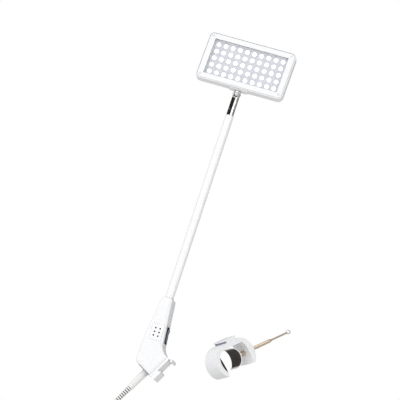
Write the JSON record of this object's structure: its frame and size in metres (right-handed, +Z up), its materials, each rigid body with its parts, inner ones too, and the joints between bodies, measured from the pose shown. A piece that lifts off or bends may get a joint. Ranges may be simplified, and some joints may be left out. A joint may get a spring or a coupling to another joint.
{
  "type": "arm mounted led light",
  "caption": "LED panel light on a long straight arm with a tilting knuckle, a bent rail-mounted base housing, a mains lead and a loose screw clamp for tubes.",
  "frame": {"origin": "middle of the rail channel's floor in the base housing", "axes": "+Z up; the base's outline and the arm lie in XZ, the arm leaning towards +X; +Y along the rail channel, away from the side that the light faces"},
  "size_m": [0.3439, 0.1327, 0.8416],
  "materials": {
    "housing_white": "satin",
    "arm_white": "gloss",
    "trim_white": "satin",
    "cord_white": "matte",
    "chrome": "polished",
    "black_plastic": "matte",
    "switch_grey": "satin",
    "black_rubber": "matte",
    "zinc_steel": "satin",
    "nickel_brass": "satin",
    "clear_pane": "polished",
    "board_grey": "satin",
    "board_green": "satin",
    "led_lens": "gloss",
    "aluminium": "satin",
    "component_black": "matte",
    "terminal_green": "satin",
    "copper_wire": "matte"
  },
  "bodies": {
    "base": {"base_housing": "housing_white", "base_rear_cover": "housing_white", "base_screws": "zinc_steel", "vent_grille": "housing_white", "arm_socket": "zinc_steel", "socket_screws": "zinc_steel", "driver_board": "board_green", "driver_components": "component_black", "terminal_block": "terminal_green", "switch_housing": "black_plastic", "lead_sleeve": "trim_white", "strain_relief": "trim_white", "cord_anchor": "trim_white", "supply_lead_inner": "cord_white", "supply_cord": "cord_white", "cord_coil": "cord_white", "cord_tie": "black_plastic", "plug_lead": "cord_white", "plug_relief": "cord_white", "plug_body": "cord_white", "plug_pins": "nickel_brass", "arm_tube": "arm_white", "arm_bush": "trim_white", "arm_wire": "copper_wire"},
    "swivel": {"knuckle_fork": "chrome", "knuckle_cover": "black_plastic", "cover_screw": "chrome", "tilt_pin": "chrome", "tilt_nut": "chrome", "friction_washers": "black_plastic", "retaining_ring": "chrome"},
    "head": {"head_rear_housing": "housing_white", "head_front_bezel": "housing_white", "window_pane": "clear_pane", "pane_gasket": "black_rubber", "board_spacer": "trim_white", "led_board": "board_grey", "led_array": "led_lens", "heat_spreader": "aluminium", "bezel_screws": "trim_white", "board_connector": "black_plastic", "knuckle_tongue": "chrome", "tongue_screws": "zinc_steel"},
    "rocker": {"switch_rocker": "switch_grey"},
    "clamp": {"clamp_body": "housing_white", "clamp_rail": "housing_white", "rail_screws": "zinc_steel", "screw_bush": "nickel_brass", "fixed_jaw": "trim_white", "fixed_jaw_rubber": "black_rubber"},
    "pad": {"pad_cup": "trim_white", "pad_rubber": "black_rubber"},
    "screw": {"clamp_screw": "nickel_brass", "handle_pin": "nickel_brass"},
    "handle": {"screw_handle": "nickel_brass"}
  },
  "joints": [
    {"name": "head_swivel", "type": "hinge", "parent": "base", "child": "swivel", "pos_m": [0.11857, 0, 0.45197], "axis": [0.314, 0, 0.9494], "range_deg": [-170, 170]},
    {"name": "head_tilt", "type": "hinge", "parent": "swivel", "child": "head", "pos_m": [0.11857, 0, 0.45197], "axis": [0.9473, 0.0663, -0.3133], "range_deg": [-78, 94]},
    {"name": "switch_rock", "type": "hinge", "parent": "base", "child": "rocker", "pos_m": [-0.00177, 0, 0.051], "axis": [0, 1, 0], "range_deg": [-12, 0]},
    {"name": "clamp_slide", "type": "slide", "parent": "base", "child": "clamp", "axis": [0.7431, -0.6691, 0], "range_m": [0, 0.06]},
    {"name": "pad_slide", "type": "slide", "parent": "clamp", "child": "pad", "axis": [0.5978, 0.6639, 0.4493], "range_m": [-0.016, 0.004]},
    {"name": "screw_turn", "type": "hinge", "parent": "pad", "child": "screw", "pos_m": [0.13367, 0.03983, 0.03066], "axis": [0.5978, 0.6639, 0.4493], "range_deg": [-5796, 1476]},
    {"name": "handle_fold", "type": "hinge", "parent": "screw", "child": "handle", "pos_m": [0.15907, 0.06805, 0.04976], "axis": [-0.3007, -0.3339, 0.8934], "range_deg": [-92, 92]}
  ],
  "couplings": [
    {"joint": "screw_turn", "follows": "pad_slide", "rad_per_m": 6283.2}
  ]
}
